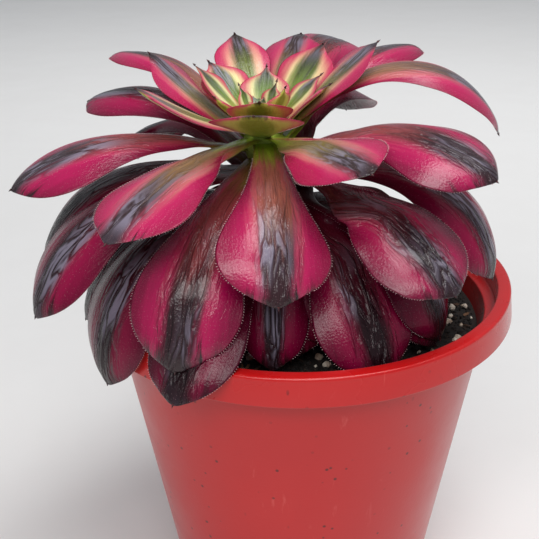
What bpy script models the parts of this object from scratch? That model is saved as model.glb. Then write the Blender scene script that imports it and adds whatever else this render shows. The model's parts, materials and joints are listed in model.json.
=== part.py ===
"""A potted aeonium: a leaning rosette of fleshy spoon-shaped leaves in a stepped-rim nursery pot.

Metres, +Z up. The origin is the centre of the pot's underside, -Y is the front of the plant.
Every leaf is its own solid. Leaves are numbered from the heart outwards, so leaf_01 is the youngest.
"""

import math

import bmesh
import bpy
from mathutils import Matrix, Vector
from mathutils.bvhtree import BVHTree

# Pot, a tapered cup with a hanging skirt round its rim
POT_HEIGHT = 0.125
RIM_RADIUS = 0.070
RIM_TOP_WIDTH = 0.003
SKIRT_DROP = 0.0092
SKIRT_FLARE = 0.0008
SKIRT_WALL = 0.0015
LEDGE_DEPTH = 0.0075
BODY_TOP_RADIUS = 0.063
BODY_TAPER = 0.172
WALL = 0.0014
FLOOR = 0.0022
POT_SIDES = 44
DRAIN_SLOTS = 6
DRAIN_SLOT_SIZE = (0.011, 0.0032)
DRAIN_CIRCLE = 0.031

# Potting mix
SOIL_TOP = POT_HEIGHT - 0.0135
SOIL_MOUND = 0.003
SOIL_SIDES = 32
GAP = 0.0003

# Growing tip, in the middle of the crown
TIP_SIZE = (0.0011, 0.0034)

# Stem, upright in the mix and leaning to the front left above it
APEX = Vector((-0.0120, -0.0150, 0.1830))
STEM_RADIUS = 0.0074
CROWN_HEIGHT = 0.0078
STEM_ROOT_DEPTH = 0.016
STEM_SIDES = 14
STEM_HEIGHTS = (0, 0.016, 0.026, 0.036, 0.046, 0.056, 0.064, 0.071)
CROWN_STEPS = 6

# Leaves
LEAF_COUNT = 50
GOLDEN_ANGLE = 137.5
FIRST_AZIMUTH = 5 - 22 * GOLDEN_ANGLE
LEAF_THICKNESS = 0.0017
CROWN_LEAN = 22
CLEARANCE = 0.0004
LIFTS = range(-40, 41)
TURNS = range(-16, 17, 2)
NARROWINGS = (1.0, 0.94, 0.88, 0.82, 0.76)
BASE_THINNING = 0.45

# Share of the length, and the share of the full width there, of a young and of a grown leaf
STATIONS = (0.0, 0.13, 0.27, 0.41, 0.54, 0.66, 0.77, 0.87, 0.95)
YOUNG_OUTLINE = (0.18, 0.34, 0.60, 0.82, 0.97, 1.00, 0.88, 0.58, 0.25)
GROWN_OUTLINE = (0.20, 0.21, 0.27, 0.40, 0.61, 0.87, 1.00, 0.86, 0.52)
ACROSS = (-1.0, -0.55, 0.0, 0.55, 1.0)

# No plant follows the rule exactly. Each leaf's change to it, chosen by eye:
# number: (turn, lift, droop, share of length, share of width, roll), the angles in degrees
HAND_SET = {
    1: (-115, -5, 0, 1.2, 1.0, 0),
    2: (0, 0, 0, 1.1, 1.0, 0),
    3: (-12, -22, 0, 2.0, 1.5, 0),
    5: (-15, 0, 0, 1.05, 1.2, 0),
    6: (-15, -12, 0, 0.9, 0.9, 0),
    7: (8, -14, 0, 1.0, 1.0, 0),
    8: (-9, -3, 8, 1.05, 1.1, 5),
    9: (-15, -4, 5, 1.0, 1.05, 0),
    10: (-16, -8, -5, 1.15, 1.05, -5),
    11: (10, -20, -25, 1.33, 1.25, 5),
    12: (5, -5, 0, 0.65, 0.95, 0),
    13: (-10, 3, 10, 1.05, 0.85, 0),
    14: (15, 0, -10, 1.0, 1.2, 0),
    15: (-25, 0, -15, 0.95, 1.0, -5),
    16: (0, -5, -40, 0.85, 1.05, 0),
    17: (-5, -10, -12, 1.1, 1.15, -16),
    18: (-7, -4, -5, 1.0, 0.8, 0),
    19: (14, -10, 0, 1.25, 1.15, 0),
    20: (10, 24, 84, 1.5, 1.0, -8),
    21: (6, 8, 8, 1.05, 0.9, -9),
    22: (1, -8, 15, 0.98, 1.13, 12),
    23: (-9, 10, 0, 1.0, 0.82, 5),
    24: (6, 6, -5, 1.08, 1.0, 8),
    25: (5, 25, 5, 0.97, 1.1, -9),
    26: (-33, 14, 20, 1.15, 1.0, -12),
    27: (4, -3, 3, 1.0, 1.0, 18),
    29: (0, 22, -12, 0.82, 0.85, 5),
    30: (22, 8, -32, 0.88, 0.97, -13),
    31: (0, 5, 0, 1.0, 1.0, 0),
    32: (-2, 15, 0, 1.06, 0.95, 9),
    33: (0, 20, 18, 0.95, 0.95, -13),
    34: (10, 10, 0, 0.9, 0.9, 0),
    35: (-4, -8, -35, 0.72, 0.65, 0),
    37: (12, 28, 8, 0.95, 0.95, 8),
    38: (-10, 3, -36, 0.81, 0.98, -6),
    40: (-12, 22, 13, 1.03, 1.0, 5),
    41: (-72, 0, -25, 0.62, 0.8, 0),
    43: (5, 5, -35, 0.62, 0.75, 0),
    44: (-92, 8, 0, 0.8, 0.95, 0),
    46: (-8, 22, -10, 0.88, 0.95, 0),
    48: (-4, 25, -39, 1.02, 1.0, 0),
}
NO_CHANGE = (0, 0, 0, 1.0, 1.0, 0)

COLOURS = {
    "pot_red": ((0.62, 0.028, 0.030), 0.38),
    "potting_mix": ((0.012, 0.009, 0.007), 0.95),
    "stem_bark": ((0.10, 0.075, 0.040), 0.80),
    "leaf_heart": ((0.42, 0.42, 0.10), 0.35),
    "leaf_crimson": ((0.27, 0.012, 0.055), 0.30),
}


def clear_scene():
    for obj in list(bpy.data.objects):
        bpy.data.objects.remove(obj, do_unlink=True)


def material(name):
    """The Principled material of that name, made on first use."""
    found = bpy.data.materials.get(name)
    if found:
        return found
    colour, roughness = COLOURS[name]
    made = bpy.data.materials.new(name)
    made.use_nodes = True
    shader = made.node_tree.nodes["Principled BSDF"]
    shader.inputs["Base Color"].default_value = (*colour, 1.0)
    shader.inputs["Roughness"].default_value = roughness
    shader.inputs["Metallic"].default_value = 0.0
    return made


def add_object(name, mesh, material_name, smooth_angle=35):
    mesh.name = name
    mesh.materials.append(material(material_name))
    mesh.shade_smooth()
    mesh.set_sharp_from_angle(angle=math.radians(smooth_angle))
    obj = bpy.data.objects.new(name, mesh)
    bpy.context.collection.objects.link(obj)
    return obj


def rings_mesh(name, rings, closed_ends=True):
    """A mesh skinned over rings of equally many points. A ring of one point closes an end to a pole."""
    points = []
    starts = []
    for ring in rings:
        starts.append(len(points))
        points.extend(ring)
    faces = []
    for (first, ring), (second, following) in zip(
        zip(starts, rings), zip(starts[1:], rings[1:])
    ):
        count = max(len(ring), len(following))
        for k in range(count):
            after = (k + 1) % count
            if len(ring) == 1:
                faces.append((first, second + k, second + after))
            elif len(following) == 1:
                faces.append((first + k, second, first + after))
            else:
                faces.append((first + k, second + k, second + after, first + after))
    if closed_ends and len(rings[0]) > 1:
        faces.append(tuple(range(len(rings[0]))))
    if closed_ends and len(rings[-1]) > 1:
        faces.append(tuple(starts[-1] + k for k in reversed(range(len(rings[-1])))))
    mesh = bpy.data.meshes.new(name)
    mesh.from_pydata(points, [], faces)
    mesh.validate()
    return mesh


def turned_mesh(name, profile, sides):
    """A closed outline of (radius, height) points turned about Z. A radius of 0 makes a pole."""
    rings = []
    for radius, height in profile:
        if radius == 0:
            rings.append([Vector((0, 0, height))])
            continue
        ring = []
        for k in range(sides):
            angle = 2 * math.pi * k / sides
            ring.append(
                Vector((radius * math.cos(angle), radius * math.sin(angle), height))
            )
        rings.append(ring)
    mesh = rings_mesh(name, rings, closed_ends=False)
    form = bmesh.new()
    form.from_mesh(mesh)
    bmesh.ops.recalc_face_normals(form, faces=form.faces)
    form.to_mesh(mesh)
    form.free()
    return mesh


def body_radius(height):
    """Outer radius of the pot's tapered wall at a height above its underside."""
    return BODY_TOP_RADIUS - BODY_TAPER * (POT_HEIGHT - SKIRT_DROP - height)


def make_pot():
    top = POT_HEIGHT
    inner_rim = RIM_RADIUS - RIM_TOP_WIDTH
    ledge = top - LEDGE_DEPTH
    edge = 0.0004
    profile = [
        (0, 0),
        (body_radius(0) - 0.001, 0),
        (body_radius(0.001), 0.001),
        (body_radius(ledge - WALL), ledge - WALL),
        (inner_rim + 0.0003, ledge - 0.0004),
        (inner_rim + 0.0005, top - WALL),
        (RIM_RADIUS - SKIRT_WALL, top - WALL),
        (RIM_RADIUS + SKIRT_FLARE - SKIRT_WALL, top - SKIRT_DROP),
        (RIM_RADIUS + SKIRT_FLARE, top - SKIRT_DROP),
        (RIM_RADIUS, top - edge),
        (RIM_RADIUS - edge, top),
        (inner_rim + edge - WALL, top),
        (inner_rim - WALL, top - edge),
        (inner_rim - WALL, ledge),
        (body_radius(ledge) - WALL, ledge - 0.0006),
        (body_radius(FLOOR) - WALL, FLOOR),
        (0, FLOOR),
    ]
    pot = add_object("pot", turned_mesh("pot", profile, POT_SIDES), "pot_red")
    length, width = DRAIN_SLOT_SIZE
    for k in range(DRAIN_SLOTS):
        angle = 2 * math.pi * (k + 0.5) / DRAIN_SLOTS
        mesh = bpy.data.meshes.new("drain_cutter")
        form = bmesh.new()
        bmesh.ops.create_cube(form, size=1.0)
        place = (
            Matrix.Rotation(angle, 4, "Z")
            @ Matrix.Translation((DRAIN_CIRCLE, 0, FLOOR / 2))
            @ Matrix.Diagonal((length, width, FLOOR * 3, 1))
        )
        form.transform(place)
        form.to_mesh(mesh)
        form.free()
        cutter = bpy.data.objects.new(f"drain_cutter_{k + 1}", mesh)
        bpy.context.collection.objects.link(cutter)
        cutter.hide_render = True
        cutter.display_type = "WIRE"
        cut = pot.modifiers.new(f"drain_{k + 1}", "BOOLEAN")
        cut.operation = "DIFFERENCE"
        cut.solver = "EXACT"
        cut.object = cutter
    return pot


def make_soil():
    """The potting mix fills the cup, is slightly mounded, and has a well for the foot of the stem."""
    bottom = FLOOR + GAP
    wall = WALL + GAP
    well = STEM_RADIUS + GAP
    well_bottom = SOIL_TOP - STEM_ROOT_DEPTH - GAP
    profile = [
        (0, bottom),
        (body_radius(bottom) - wall - 0.0002, bottom),
        (body_radius(SOIL_TOP - 0.001) - wall - 0.0002, SOIL_TOP - 0.001),
        (body_radius(SOIL_TOP) - wall - 0.002, SOIL_TOP),
        (0.040, SOIL_TOP + SOIL_MOUND * 0.5),
        (0.020, SOIL_TOP + SOIL_MOUND),
        (well, SOIL_TOP + SOIL_MOUND),
        (well, well_bottom),
        (0, well_bottom),
    ]
    return add_object(
        "potting_mix", turned_mesh("potting_mix", profile, SOIL_SIDES), "potting_mix"
    )


def stem_centre(height):
    """Centreline of the stem: upright up to the mix, then bending over towards the apex."""
    share = max(0.0, (height - SOIL_TOP) / (APEX.z - SOIL_TOP))
    lean = share**1.6
    return Vector((APEX.x * lean, APEX.y * lean, height))


def stem_radius(height):
    """Radius of the stem at a height. Its last few millimetres are the domed crown."""
    below = (APEX.z - height) / CROWN_HEIGHT
    return STEM_RADIUS * math.sqrt(min(1.0, max(0.0, below)))


def make_stem():
    bottom = SOIL_TOP - STEM_ROOT_DEPTH
    heights = [bottom + step for step in STEM_HEIGHTS if bottom + step < APEX.z - CROWN_HEIGHT]
    for i in range(CROWN_STEPS):
        heights.append(APEX.z - CROWN_HEIGHT * (1 - i / CROWN_STEPS) ** 2)
    rings = [[stem_centre(bottom)]]
    for height in heights:
        centre = stem_centre(height)
        radius = stem_radius(height)
        ring = []
        for k in range(STEM_SIDES):
            angle = 2 * math.pi * k / STEM_SIDES
            ring.append(
                centre + Vector((math.cos(angle), math.sin(angle), 0)) * radius
            )
        rings.append(ring)
    rings.append([stem_centre(APEX.z)])
    mesh = rings_mesh("stem", rings)
    form = bmesh.new()
    form.from_mesh(mesh)
    bmesh.ops.recalc_face_normals(form, faces=form.faces)
    form.to_mesh(mesh)
    form.free()
    return add_object("stem", mesh, "stem_bark")


def make_growing_tip():
    radius, height = TIP_SIZE
    profile = [
        (0, 0),
        (radius * 0.8, height * 0.12),
        (radius, height * 0.35),
        (radius * 0.7, height * 0.68),
        (radius * 0.3, height * 0.9),
        (0, height),
    ]
    mesh = turned_mesh("growing_tip", profile, 10)
    mesh.transform(Matrix.Translation(APEX + Vector((0, 0, GAP))))
    return add_object("growing_tip", mesh, "leaf_heart")


def between(low, high, share):
    return low + (high - low) * min(1.0, max(0.0, share))


class Leaf:
    """One leaf's measures. Its number gives its place round the stem and its age, and so its pose."""

    def __init__(self, number):
        turn, lift, droop, length, width, roll = HAND_SET.get(number, NO_CHANGE)
        grown = min(1.0, number / 26)
        age = (number - 1) / (LEAF_COUNT - 1)
        aged = max(0.0, age - 0.5) / 0.5
        late = between(0, 1, (number - 26) / 8)
        self.number = number
        self.grown = grown
        self.azimuth = FIRST_AZIMUTH + GOLDEN_ANGLE * number + turn
        lean = CROWN_LEAN * grown**1.5 * math.cos(math.radians(self.azimuth))
        self.depth = 0.0008 + 0.0070 * grown**1.2 + 0.025 * max(0.0, age - 0.42) / 0.58
        self.lift = 72 - 62 * grown**0.75 - 30 * aged - lean + lift
        self.droop = -15 + 75 * grown**1.8 + 22 * late + droop
        self.length = (0.007 + 0.066 * grown**1.3 + 0.010 * late) * length
        self.width = min(0.007 + 0.066 * grown**1.3, 0.073) * between(0.74, 0.44, grown) * width
        if number > 44:
            self.length *= 0.88
            self.width *= 0.92
        self.roll = roll
        self.cup = between(0.25, -0.14, grown * 1.1)
        self.stalk = 0.20 + 0.14 * late

    def outline(self, i):
        """Half the leaf's width at a station."""
        share = between(YOUNG_OUTLINE[i], GROWN_OUTLINE[i], (self.grown - 0.2) / 0.6)
        if i < 5:
            share = max(share, self.stalk)
        return self.width / 2 * share

    def midrib(self, share):
        """The pitch of the midrib, in degrees above level, at a share of the length."""
        return self.lift - self.droop * share**1.3

    def rings(self, swell=0.0):
        """Rings of points round the leaf from its base to its tip. swell makes the leaf larger all round."""
        heading = math.radians(self.azimuth)
        outward = Vector((math.sin(heading), -math.cos(heading), 0))
        up = Vector((0, 0, 1))
        side = outward.cross(up).normalized()
        height = APEX.z - self.depth
        thick = LEAF_THICKNESS * between(0.5, 1.0, self.grown) / 2
        pitch = math.radians(self.midrib(0))
        slope = 2 * CROWN_HEIGHT * stem_radius(height) / STEM_RADIUS**2
        if self.depth > CROWN_HEIGHT:
            slope = 1000.0
        steep = math.atan(slope)
        facing = outward * math.sin(steep) + up * math.cos(steep)
        tilt = abs(math.cos(pitch) * math.cos(steep) - math.sin(pitch) * math.sin(steep))
        place = stem_centre(height) + outward * stem_radius(height)
        place = place + facing * (GAP + thick * BASE_THINNING * tilt)
        rings = []
        steps = (*STATIONS, 1.0)
        for i, share in enumerate(STATIONS):
            pitch = math.radians(self.midrib(share))
            along = outward * math.cos(pitch) + up * math.sin(pitch)
            normal = side.cross(along).normalized()
            roll = math.radians(self.roll) * min(1.0, share * 1.6)
            across = side * math.cos(roll) + normal * math.sin(roll)
            face = normal * math.cos(roll) - side * math.sin(roll)
            half = self.outline(i) + swell * between(0.4, 1.0, share / 0.3)
            cup = self.cup * min(1.0, share * 1.5)
            thinned = between(BASE_THINNING, 1.0, share / 0.3)
            deep = thick * thinned + swell * thinned
            top = []
            bottom = []
            for x in ACROSS:
                middle = place + across * (half * x) + face * (half * cup * x * x)
                if abs(x) == 1.0:
                    top.append(middle)
                    continue
                body = face * (deep * (1 - 0.35 * x * x))
                top.append(middle + body)
                bottom.append(middle - body)
            rings.append(top[::-1] + bottom)
            following = (share + steps[i + 1]) / 2
            pitch = math.radians(self.midrib(following))
            along = outward * math.cos(pitch) + up * math.sin(pitch)
            place = place + along * (self.length * (steps[i + 1] - share))
        rings.append([place])
        return rings

    def mesh(self, swell=0.0):
        return rings_mesh(f"leaf_{self.number:02d}", self.rings(swell))


def tree_of(mesh):
    points = [v.co.copy() for v in mesh.vertices]
    faces = [tuple(p.vertices) for p in mesh.polygons]
    return BVHTree.FromPolygons(points, faces)


def poses():
    """Changes of lift, turn and width to try, the smallest first."""
    found = []
    for narrowing in NARROWINGS:
        for turn in TURNS:
            for lift in LIFTS:
                cost = abs(lift) + 1.2 * abs(turn) + 80 * (1 - narrowing)
                found.append((cost, lift, turn, narrowing))
    return sorted(found)


def settle(leaf, touching, placed, tries):
    """The leaf's mesh in the nearest pose that clears the stem and every leaf set so far."""
    lift, azimuth, width = leaf.lift, leaf.azimuth, leaf.width
    for _, raised, turned, narrowing in tries:
        leaf.lift = lift + raised
        leaf.azimuth = azimuth + turned
        leaf.width = width * narrowing
        trial = tree_of(leaf.mesh(swell=CLEARANCE))
        if any(trial.overlap(tree) for tree in placed):
            continue
        mesh = leaf.mesh()
        if not tree_of(mesh).overlap(touching):
            return mesh
    raise RuntimeError(f"leaf {leaf.number} finds no clear pose")


def make_leaves(stem, others):
    """Sets the leaves from the oldest up."""
    touching = tree_of(stem.data)
    placed = [tree_of(obj.data) for obj in others]
    tries = poses()
    for number in range(LEAF_COUNT, 0, -1):
        leaf = Leaf(number)
        mesh = settle(leaf, touching, placed, tries)
        name = "leaf_heart" if leaf.grown < 0.45 else "leaf_crimson"
        add_object(f"leaf_{number:02d}", mesh, name, smooth_angle=70)
        placed.append(tree_of(mesh))


def main():
    clear_scene()
    pot = make_pot()
    soil = make_soil()
    stem = make_stem()
    growing_tip = make_growing_tip()
    make_leaves(stem, [pot, soil, growing_tip])


main()
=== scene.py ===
"""The look of a potted aeonium: fleshy two-tone leaves, a cream heart, bark, potting mix and a red pot.

It is laid out as an add-on: one operator for each piece or group of like pieces, and one for the stage.
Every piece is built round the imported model, whose nodes give each place and size. Metres, +Z up.
"""

import json
import math
import random

import bpy
import numpy as np
from mathutils import Matrix, Vector, noise

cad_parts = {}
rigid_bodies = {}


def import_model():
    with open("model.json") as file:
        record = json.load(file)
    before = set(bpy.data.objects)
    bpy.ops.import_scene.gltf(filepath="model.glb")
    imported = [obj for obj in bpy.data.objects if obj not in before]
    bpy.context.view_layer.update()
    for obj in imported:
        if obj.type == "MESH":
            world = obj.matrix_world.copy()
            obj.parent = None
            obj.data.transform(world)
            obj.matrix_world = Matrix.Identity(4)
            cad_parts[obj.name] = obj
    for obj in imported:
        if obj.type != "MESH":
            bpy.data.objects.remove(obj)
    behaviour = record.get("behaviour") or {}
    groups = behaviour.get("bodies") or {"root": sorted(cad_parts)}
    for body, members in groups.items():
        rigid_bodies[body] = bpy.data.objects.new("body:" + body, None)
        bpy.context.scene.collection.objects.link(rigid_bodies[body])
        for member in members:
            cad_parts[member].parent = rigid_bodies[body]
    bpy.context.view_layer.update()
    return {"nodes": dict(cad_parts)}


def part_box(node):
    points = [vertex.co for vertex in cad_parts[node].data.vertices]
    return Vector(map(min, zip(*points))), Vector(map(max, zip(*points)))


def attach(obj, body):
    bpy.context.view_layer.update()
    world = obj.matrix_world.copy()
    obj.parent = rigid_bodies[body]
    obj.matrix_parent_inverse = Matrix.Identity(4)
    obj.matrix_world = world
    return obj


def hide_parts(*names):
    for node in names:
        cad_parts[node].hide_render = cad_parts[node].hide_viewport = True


bl_info = {
    "name": "Potted Aeonium",
    "version": (1, 0, 0),
    "blender": (4, 5, 0),
    "location": "View3D > Sidebar > Aeonium",
    "description": "Builds the detailed pieces of a potted aeonium round its plain solids",
    "category": "Object",
}

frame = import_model()
BODY = "root"
MERGE_DISTANCE = 1e-6
# A turned piece is closed over a small circle of this radius
CENTRE = 0.0010

# What the frame gives
POT_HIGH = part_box("pot")[1]
MIX_LOW, MIX_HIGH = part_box("potting_mix")
STEM_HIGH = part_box("stem")[1]
HEART_LOW, HEART_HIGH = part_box("growing_tip")
LEAVES = sorted(name for name in frame["nodes"] if name.startswith("leaf_"))

# How a leaf's solid is laid out: rings of eight points from the foot to a single point at the tip
RING = 8
RING_COUNT = 9
ACROSS = (1.0, 0.55, 0.0, -0.55, -1.0, -0.55, 0.0, 0.55)
UNDERSIDE = (0.5, 0.0, 0.0, 0.0, 0.5, 1.0, 1.0, 1.0)
MARGINS = (0, 4)
# How much of the extra neck breadth each ring of a grown leaf takes
NECK_GAIN = (0.8, 1.0, 1.0, 0.75, 0.42, 0.13, 0.0, 0.0, 0.0)
CREST, KEEL = 2, 6


def paint(red, green, blue):
    """A colour given as it looks on screen, from 0 to 1, as the linear values that Blender keeps."""
    return tuple(
        part / 12.92 if part <= 0.04045 else ((part + 0.055) / 1.055) ** 2.4
        for part in (red, green, blue)
    )


def length(name, description, default):
    return bpy.props.FloatProperty(
        name=name, description=description, default=default, min=0.0, unit="LENGTH", precision=5
    )


def share(name, description, default, highest=1.0):
    return bpy.props.FloatProperty(
        name=name, description=description, default=default, min=0.0, max=highest
    )


def count(name, description, default, lowest=1):
    return bpy.props.IntProperty(name=name, description=description, default=default, min=lowest)


def colour(name, description, default):
    return bpy.props.FloatVectorProperty(
        name=name, description=description, default=default, subtype="COLOR", min=0.0, max=1.0
    )


# -------------------- settings


class AeoniumLeafSettings(bpy.types.PropertyGroup):
    refinement: count("Refinement", "Subdivision levels of each leaf", 3)
    root: length("Root", "How far a leaf's foot runs on into the stem", 0.0012)
    neck_breadth: share("Neck breadth", "How much broader a grown leaf's neck is than its solid", 0.72)
    young_breadth: share("Young breadth", "How much broader a young leaf is than its solid", 0.30)
    edge_crease: share("Edge crease", "How sharp the margin of a leaf is", 0.55)
    fold_depth: length("Fold depth", "Depth of the folds along an old leaf's dark stripe", 0.00016)
    fold_pitch: length("Fold pitch", "Distance between two folds", 0.0026)
    tip_reach: length("Tip reach", "How far a leaf's tip is drawn out beyond its solid", 0.0018)
    dome: length("Dome", "How far the middle of a grown leaf swells above its margins", 0.0016)
    wave: length("Margin wave", "How far a margin wanders out of the leaf's plane", 0.00035)
    wave_pitch: length("Wave pitch", "Length of one such wave", 0.013)
    hair: length("Hair length", "Length of the hairs along the margins", 0.00048)
    hair_width: length("Hair width", "Thickness of a hair at its foot", 0.00015)
    hair_pitch: length("Hair pitch", "Distance between two hairs", 0.00078)
    point: length("Point", "Length of the dark point at a leaf's tip", 0.0013)
    stripe: share("Stripe", "Half width of the dark stripe, as a share of the leaf's half width", 0.31)


class AeoniumPotSettings(bpy.types.PropertyGroup):
    sides: count("Sides", "Facets round the pot", 192, 24)
    rim_width: length("Rim width", "Width of the flat top of the rim", 0.003)
    wall: length("Wall", "Thickness of the wall", 0.0014)
    floor: length("Floor", "Thickness of the floor", 0.0022)
    skirt_drop: length("Skirt drop", "Height of the band round the rim", 0.0092)
    skirt_flare: length("Skirt flare", "How far the band spreads towards its lower edge", 0.0008)
    skirt_wall: length("Skirt wall", "Thickness of the band", 0.0015)
    ledge: length("Ledge depth", "Depth of the inner step below the rim", 0.0075)
    body_radius: length("Body radius", "Radius of the body where the band ends", 0.063)
    taper: share("Taper", "Narrowing of the body for each metre down", 0.172)
    slots: count("Slots", "Number of drain slots", 6)
    slot_length: length("Slot length", "Length of a drain slot", 0.011)
    slot_width: length("Slot width", "Width of a drain slot", 0.0032)
    slot_circle: length("Slot circle", "Distance of a drain slot from the middle", 0.031)
    plastic: colour("Plastic", "Moulded plastic of the pot", paint(0.72, 0.07, 0.075))


class AeoniumMixSettings(bpy.types.PropertyGroup):
    sides: count("Sides", "Facets round the mix", 128, 24)
    roughness: length("Roughness", "Height of the lumps in the mix", 0.0012)
    crumbs: count("Crumbs", "Number of loose crumbs on top", 5200)
    crumb: length("Crumb size", "Radius of a large crumb", 0.0011)
    chips: count("Chips", "Number of bark chips", 240)
    grains: count("Grains", "Number of pale grains", 190)
    grain: length("Grain size", "Radius of a large pale grain", 0.0016)
    seed: count("Seed", "Changes where the crumbs lie", 7)
    earth: colour("Earth", "Colour of the mix", paint(0.13, 0.09, 0.075))
    pale: colour("Pale grain", "Colour of the pale grains", paint(0.88, 0.84, 0.78))


class AeoniumStageSettings(bpy.types.PropertyGroup):
    floor: colour("Floor", "Colour of the floor", paint(0.925, 0.92, 0.912))
    floor_size: length("Floor size", "Width of the floor", 14.0)
    key: bpy.props.FloatProperty(
        name="Key light", description="Strength of the main soft light", default=3.4, unit="POWER"
    )
    fill: bpy.props.FloatProperty(
        name="Fill light", description="Strength of the overhead light", default=6.6, unit="POWER"
    )
    air: share("Air", "Strength of the light from all round", 0.34, 4.0)
    back: bpy.props.FloatProperty(
        name="Back light", description="Strength of the light on the floor behind", default=5.6, unit="POWER"
    )


# -------------------- modelling helpers


def deselect_all():
    if bpy.context.mode != "OBJECT":
        bpy.ops.object.mode_set(mode="OBJECT")
    bpy.ops.object.select_all(action="DESELECT")
    bpy.context.view_layer.objects.active = None


def take(piece):
    """Makes this piece the only one selected, and active."""
    deselect_all()
    piece.select_set(True)
    bpy.context.view_layer.objects.active = piece
    return piece


def new_piece(name, points, faces):
    mesh = bpy.data.meshes.new(name)
    mesh.from_pydata([tuple(p) for p in points], [], [tuple(f) for f in faces])
    mesh.validate()
    piece = bpy.data.objects.new(name, mesh)
    bpy.context.scene.collection.objects.link(piece)
    return take(piece)


def apply_modifiers(piece):
    take(piece)
    for modifier in list(piece.modifiers):
        bpy.ops.object.modifier_apply(modifier=modifier.name)


def place_in_mesh(piece):
    """Moves the object's place, turn and scale into its mesh, so that it sits at the origin."""
    take(piece)
    bpy.ops.object.transform_apply(location=True, rotation=True, scale=True)


def copied_solid(node, name):
    """A copy of a CAD node's mesh, with its loose triangles merged."""
    piece = bpy.data.objects.new(name, frame["nodes"][node].data.copy())
    piece.data.name = name
    piece.data.materials.clear()
    bpy.context.scene.collection.objects.link(piece)
    take(piece)
    bpy.ops.object.mode_set(mode="EDIT")
    bpy.ops.mesh.select_all(action="SELECT")
    bpy.ops.mesh.remove_doubles(threshold=MERGE_DISTANCE)
    bpy.ops.object.mode_set(mode="OBJECT")
    return piece


def subdivide_smoothly(piece, levels):
    modifier = piece.modifiers.new("smooth", "SUBSURF")
    modifier.levels = levels
    modifier.render_levels = levels


def roughen(piece, name, size, strength, group=""):
    """Pushes the surface in and out by cloudy noise of that size."""
    texture = bpy.data.textures.new(name, "CLOUDS")
    texture.noise_scale = size
    texture.noise_depth = 3
    modifier = piece.modifiers.new(name, "DISPLACE")
    modifier.texture = texture
    modifier.texture_coords = "LOCAL"
    modifier.strength = strength
    modifier.mid_level = 0.5
    modifier.vertex_group = group


def shade(piece, angle=None):
    take(piece)
    if angle is None:
        bpy.ops.object.shade_smooth()
    else:
        bpy.ops.object.shade_smooth_by_angle(angle=math.radians(angle))


def finish_piece(piece, materials, nodes=()):
    """Hangs a finished piece in the frame."""
    for material in materials:
        piece.data.materials.append(material)
    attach(piece, BODY)
    if nodes:
        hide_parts(*nodes)
    return piece


def rounded(profile, steps=4):
    """The profile's points as (radius, height), with each corner that gives a third value rounded by it."""
    path = []
    for i, corner in enumerate(profile):
        if len(corner) == 2:
            path.append(tuple(corner))
            continue
        here, size = Vector(corner[:2]), corner[2]
        back = (Vector(profile[i - 1][:2]) - here).normalized() * size
        ahead = (Vector(profile[i + 1][:2]) - here).normalized() * size
        for k in range(steps + 1):
            t = k / steps
            path.append(tuple(here + back * (1 - t) ** 2 + ahead * t**2))
    return path


def turned(name, profile, sides):
    """A closed turned piece: a circle at the profile's first point, then extruded and resized along it."""
    deselect_all()
    radius, height = profile[0]
    bpy.ops.mesh.primitive_circle_add(vertices=sides, radius=radius, location=(0, 0, height))
    piece = bpy.context.active_object
    piece.name = name
    piece.data.name = name
    place_in_mesh(piece)
    bpy.ops.object.mode_set(mode="EDIT")
    bpy.ops.mesh.select_mode(type="EDGE")
    bpy.ops.mesh.select_all(action="SELECT")
    for next_radius, next_height in profile[1:]:
        bpy.ops.mesh.extrude_region_move(TRANSFORM_OT_translate={"value": (0, 0, next_height - height)})
        ratio = next_radius / radius
        bpy.ops.transform.resize(value=(ratio, ratio, 1), center_override=(0, 0, next_height))
        radius, height = next_radius, next_height
    bpy.ops.mesh.select_all(action="SELECT")
    bpy.ops.mesh.fill_holes(sides=0)
    bpy.ops.mesh.select_all(action="SELECT")
    bpy.ops.mesh.normals_make_consistent(inside=False)
    bpy.ops.object.mode_set(mode="OBJECT")
    return piece


def copies(name, shapes, places):
    """One piece that holds a copy of a shape at each place. A place is (number of the shape, matrix)."""
    points, faces, first = [], [], 0
    for which, matrix in places:
        shape_points, shape_faces = shapes[which]
        turn = np.array(matrix)
        points.append(shape_points @ turn[:3, :3].T + turn[:3, 3])
        faces.extend([[first + i for i in face] for face in shape_faces])
        first += len(shape_points)
    return new_piece(name, np.concatenate(points), faces)


def as_shape(piece):
    """The points and faces of a piece, which is then removed."""
    points = np.array([v.co for v in piece.data.vertices])
    faces = [list(face.vertices) for face in piece.data.polygons]
    bpy.data.objects.remove(piece)
    return points, faces


# -------------------- material helpers


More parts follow.
